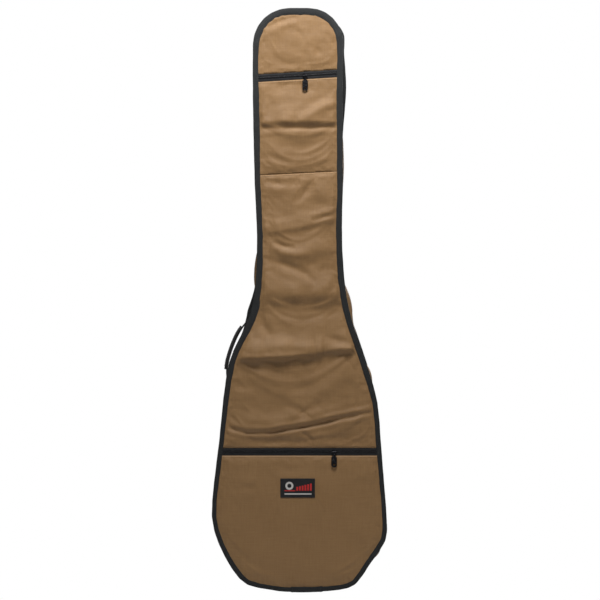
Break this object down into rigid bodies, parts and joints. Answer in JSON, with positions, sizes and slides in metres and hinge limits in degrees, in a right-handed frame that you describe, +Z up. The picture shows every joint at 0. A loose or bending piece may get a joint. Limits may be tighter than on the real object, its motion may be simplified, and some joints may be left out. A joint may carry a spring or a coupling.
{
  "type": "padded gig bag",
  "caption": "Padded soft case for an electric bass: zipped clamshell lid, front pockets, side handle, shoulder straps and a hang loop behind the head.",
  "frame": {"origin": "the point inside the hang loop behind the head where a hook carries the bag", "axes": "+Z up the bag towards its head, front faces -Y, +X to the right as the front is seen"},
  "size_m": [0.3759, 0.1095, 1.2515],
  "materials": {
    "shell_fabric": "coffee-brown polyester plain weave with a slight sheen",
    "pad_fabric": "brown woven cover over foam",
    "foam": "closed-cell foam sheet",
    "lining": "black brushed nylon",
    "binding_tape": "black ribbed binding tape",
    "webbing": "black webbing",
    "zip_tape": "black woven zip tape",
    "zip_coil": "black nylon coil",
    "zip_metal": "black enamel, worn at the edges",
    "black_plastic": "moulded, satin",
    "label": "woven black label with a plain device"
  },
  "bodies": {
    "base": {"back_panel": "shell_fabric", "rear_foam": "foam", "rear_lining": "lining", "rear_gusset": "shell_fabric", "rear_gusset_foam": "foam", "rear_gusset_lining": "lining", "rear_binding": "binding_tape", "main_zip_tape_rear": "zip_tape", "main_zip_coil_rear": "zip_coil", "spine_hinge": "shell_fabric", "hang_loop": "webbing", "hang_loop_patch": "webbing", "strap_yoke": "webbing", "strap_anchor_left": "webbing", "strap_anchor_right": "webbing", "handle_anchor_upper": "webbing", "handle_anchor_lower": "webbing"},
    "lid": {"head_panel": "shell_fabric", "upper_pocket_panel": "shell_fabric", "body_panel": "shell_fabric", "lower_pocket_panel": "shell_fabric", "upper_pocket_backing": "lining", "lower_pocket_backing": "lining", "front_foam": "foam", "front_lining": "lining", "front_gusset": "shell_fabric", "front_gusset_foam": "foam", "front_gusset_lining": "lining", "front_binding": "binding_tape", "main_zip_tape_front": "zip_tape", "main_zip_coil_front": "zip_coil", "head_zip_tape_upper": "zip_tape", "head_zip_tape_lower": "zip_tape", "head_zip_coil": "zip_coil", "pocket_zip_tape_upper": "zip_tape", "pocket_zip_tape_lower": "zip_tape", "pocket_zip_coil": "zip_coil", "label_patch": "label"},
    "handle": {"side_handle_webbing": "webbing", "side_handle_grip": "black_plastic"},
    "strap_left": {"strap_pad_left": "pad_fabric", "strap_webbing_left": "webbing", "strap_buckle_left": "black_plastic"},
    "strap_right": {"strap_pad_right": "pad_fabric", "strap_webbing_right": "webbing", "strap_buckle_right": "black_plastic"},
    "head_slider": {"head_zip_slider": "zip_metal"},
    "head_link": {"head_zip_link": "zip_metal"},
    "head_tab": {"head_zip_tab": "zip_metal"},
    "pocket_slider": {"pocket_zip_slider": "zip_metal"},
    "pocket_link": {"pocket_zip_link": "zip_metal"},
    "pocket_tab": {"pocket_zip_tab": "zip_metal"},
    "top_slider": {"top_zip_slider": "zip_metal"},
    "top_tab": {"top_zip_tab": "zip_metal"},
    "side_slider": {"side_zip_slider": "zip_metal"},
    "side_tab": {"side_zip_tab": "zip_metal"}
  },
  "joints": [
    {"name": "lid_hinge", "type": "hinge", "parent": "base", "child": "lid", "pos_m": [-0.1775, -0.07, -0.95], "axis": [0, 0, -1], "range_deg": [0, 115], "deforming": ["spine_hinge"]},
    {"name": "handle_swing", "type": "hinge", "parent": "base", "child": "handle", "pos_m": [-0.12937, -0.034, -0.71592], "axis": [-0.3473, 0, -0.9377], "range_deg": [-20, 20], "stiffness_Nm_per_rad": 0.05},
    {"name": "strap_left_swing", "type": "hinge", "parent": "base", "child": "strap_left", "pos_m": [-0.07025, -0.001, -0.6402], "axis": [-0.0793, -0.0098, -0.9968], "range_deg": [-12, 12], "stiffness_Nm_per_rad": 0.2},
    {"name": "strap_right_swing", "type": "hinge", "parent": "base", "child": "strap_right", "pos_m": [0.07025, -0.001, -0.6402], "axis": [0.0793, -0.0098, -0.9968], "range_deg": [-12, 12], "stiffness_Nm_per_rad": 0.2},
    {"name": "head_zip_travel", "type": "slide", "parent": "lid", "child": "head_slider", "axis": [0.9981, 0, 0.0609], "range_m": [-0.085, 0.052]},
    {"name": "head_link_lift", "type": "hinge", "parent": "head_slider", "child": "head_link", "pos_m": [0.012, -0.0961, -0.1278], "axis": [-1, 0, 0], "range_deg": [0, 110]},
    {"name": "head_tab_swing", "type": "hinge", "parent": "head_link", "child": "head_tab", "pos_m": [0.012, -0.0961, -0.1345], "axis": [0, 1, 0], "range_deg": [-75, 75]},
    {"name": "pocket_zip_travel", "type": "slide", "parent": "lid", "child": "pocket_slider", "axis": [1, 0, 0], "range_m": [-0.22, 0.072]},
    {"name": "pocket_link_lift", "type": "hinge", "parent": "pocket_slider", "child": "pocket_link", "pos_m": [0.074, -0.0961, -0.9342], "axis": [-1, 0, 0], "range_deg": [0, 110]},
    {"name": "pocket_tab_swing", "type": "hinge", "parent": "pocket_link", "child": "pocket_tab", "pos_m": [0.074, -0.0961, -0.9409], "axis": [0, 1, 0], "range_deg": [-75, 75]},
    {"name": "top_zip_travel", "type": "hinge", "parent": "base", "child": "top_slider", "pos_m": [0.02, -0.07, -0.0562], "axis": [0, 1, 0], "range_deg": [-38, 30]},
    {"name": "top_tab_flip", "type": "hinge", "parent": "top_slider", "child": "top_tab", "pos_m": [0.06962, -0.07, -0.01306], "axis": [0, -1, 0], "range_deg": [0, 150]},
    {"name": "side_zip_travel", "type": "slide", "parent": "base", "child": "side_slider", "axis": [0.298, 0, -0.9546], "range_m": [-0.02, 0.02]},
    {"name": "side_tab_flip", "type": "hinge", "parent": "side_slider", "child": "side_tab", "pos_m": [0.15122, -0.07, -0.79384], "axis": [0, -1, 0], "range_deg": [0, 150]}
  ]
}
